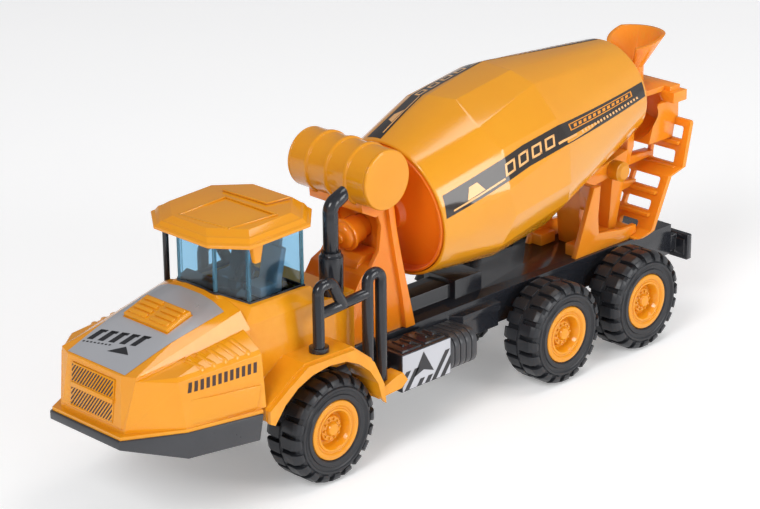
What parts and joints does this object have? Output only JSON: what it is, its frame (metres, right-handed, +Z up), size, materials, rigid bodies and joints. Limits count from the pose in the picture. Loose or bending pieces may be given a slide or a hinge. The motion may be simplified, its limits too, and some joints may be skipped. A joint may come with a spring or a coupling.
{
  "type": "toy cement mixer truck",
  "caption": "Toy cement mixer truck with a turning faceted drum, rolling wheels, a clear-windowed cab, handrails, exhaust, water tank and a rear ladder with loading hopper.",
  "frame": {"origin": "on the ground, under the centre of the bounding box", "axes": "-Y is the front of the truck, +X is its left side (the driver looks along -Y), +Z is up"},
  "size_m": [0.08, 0.329, 0.1335],
  "materials": {
    "yellow_plastic": "glossy moulded, light wear on the edges",
    "orange_plastic": "glossy moulded, slightly translucent",
    "black_plastic": "semi-gloss moulded",
    "grey_plastic": "satin moulded",
    "seat_grey_plastic": "satin moulded",
    "clear_plastic": "clear, light blue tint",
    "tyre": "soft matte tread",
    "steel": "plain drawn wire"
  },
  "bodies": {
    "truck": {"chassis_frame": "black_plastic", "chassis_bottom_cover": "grey_plastic", "cover_screws": "steel", "front_bumper": "grey_plastic", "cab_shell": "yellow_plastic", "front_grille": "grey_plastic", "cab_glass": "clear_plastic", "cab_floor": "black_plastic", "driver_seat": "seat_grey_plastic", "passenger_seat": "black_plastic", "dashboard": "black_plastic", "steering_wheel": "black_plastic", "cab_roof": "yellow_plastic", "roof_post": "black_plastic", "exhaust_muffler": "black_plastic", "exhaust_pipe": "black_plastic", "handrail_left": "black_plastic", "handrail_right": "black_plastic", "front_pedestal": "orange_plastic", "drum_motor": "orange_plastic", "front_bearing": "orange_plastic", "water_tank": "yellow_plastic", "tank_cap_left": "yellow_plastic", "tank_cap_right": "yellow_plastic", "rear_pedestal": "orange_plastic", "ladder_frame": "orange_plastic", "discharge_hood": "orange_plastic", "loading_hopper": "orange_plastic", "pivot_knob": "yellow_plastic", "toolbox_left": "black_plastic", "toolbox_right": "black_plastic", "air_tank_left": "grey_plastic", "air_tank_right": "grey_plastic", "rear_bumper": "black_plastic"},
    "drum": {"drum_shell": "yellow_plastic", "drum_front_dish": "orange_plastic", "drum_rear_cap": "orange_plastic", "drum_front_pin": "steel", "drum_rear_pin": "steel"},
    "axle_front_set": {"axle_front": "steel", "hub_front_left": "yellow_plastic", "hub_front_right": "yellow_plastic", "tyre_front_left": "tyre", "tyre_front_right": "tyre"},
    "axle_middle_set": {"axle_middle": "steel", "hub_middle_left": "yellow_plastic", "hub_middle_right": "yellow_plastic", "tyre_middle_left": "tyre", "tyre_middle_right": "tyre"},
    "axle_rear_set": {"axle_rear": "steel", "hub_rear_left": "yellow_plastic", "hub_rear_right": "yellow_plastic", "tyre_rear_left": "tyre", "tyre_rear_right": "tyre"}
  },
  "joints": [
    {"name": "drum_spin", "type": "hinge", "parent": "truck", "child": "drum", "pos_m": [0, 0.05571, 0.0965], "axis": [0, 0.9869, 0.1616], "continuous": true},
    {"name": "front_axle_spin", "type": "hinge", "parent": "truck", "child": "axle_front_set", "pos_m": [0, -0.0708, 0.022], "axis": [1, 0, 0], "continuous": true},
    {"name": "middle_axle_spin", "type": "hinge", "parent": "truck", "child": "axle_middle_set", "pos_m": [0, 0.0635, 0.022], "axis": [1, 0, 0], "continuous": true},
    {"name": "rear_axle_spin", "type": "hinge", "parent": "truck", "child": "axle_rear_set", "pos_m": [0, 0.1157, 0.022], "axis": [1, 0, 0], "continuous": true}
  ]
}
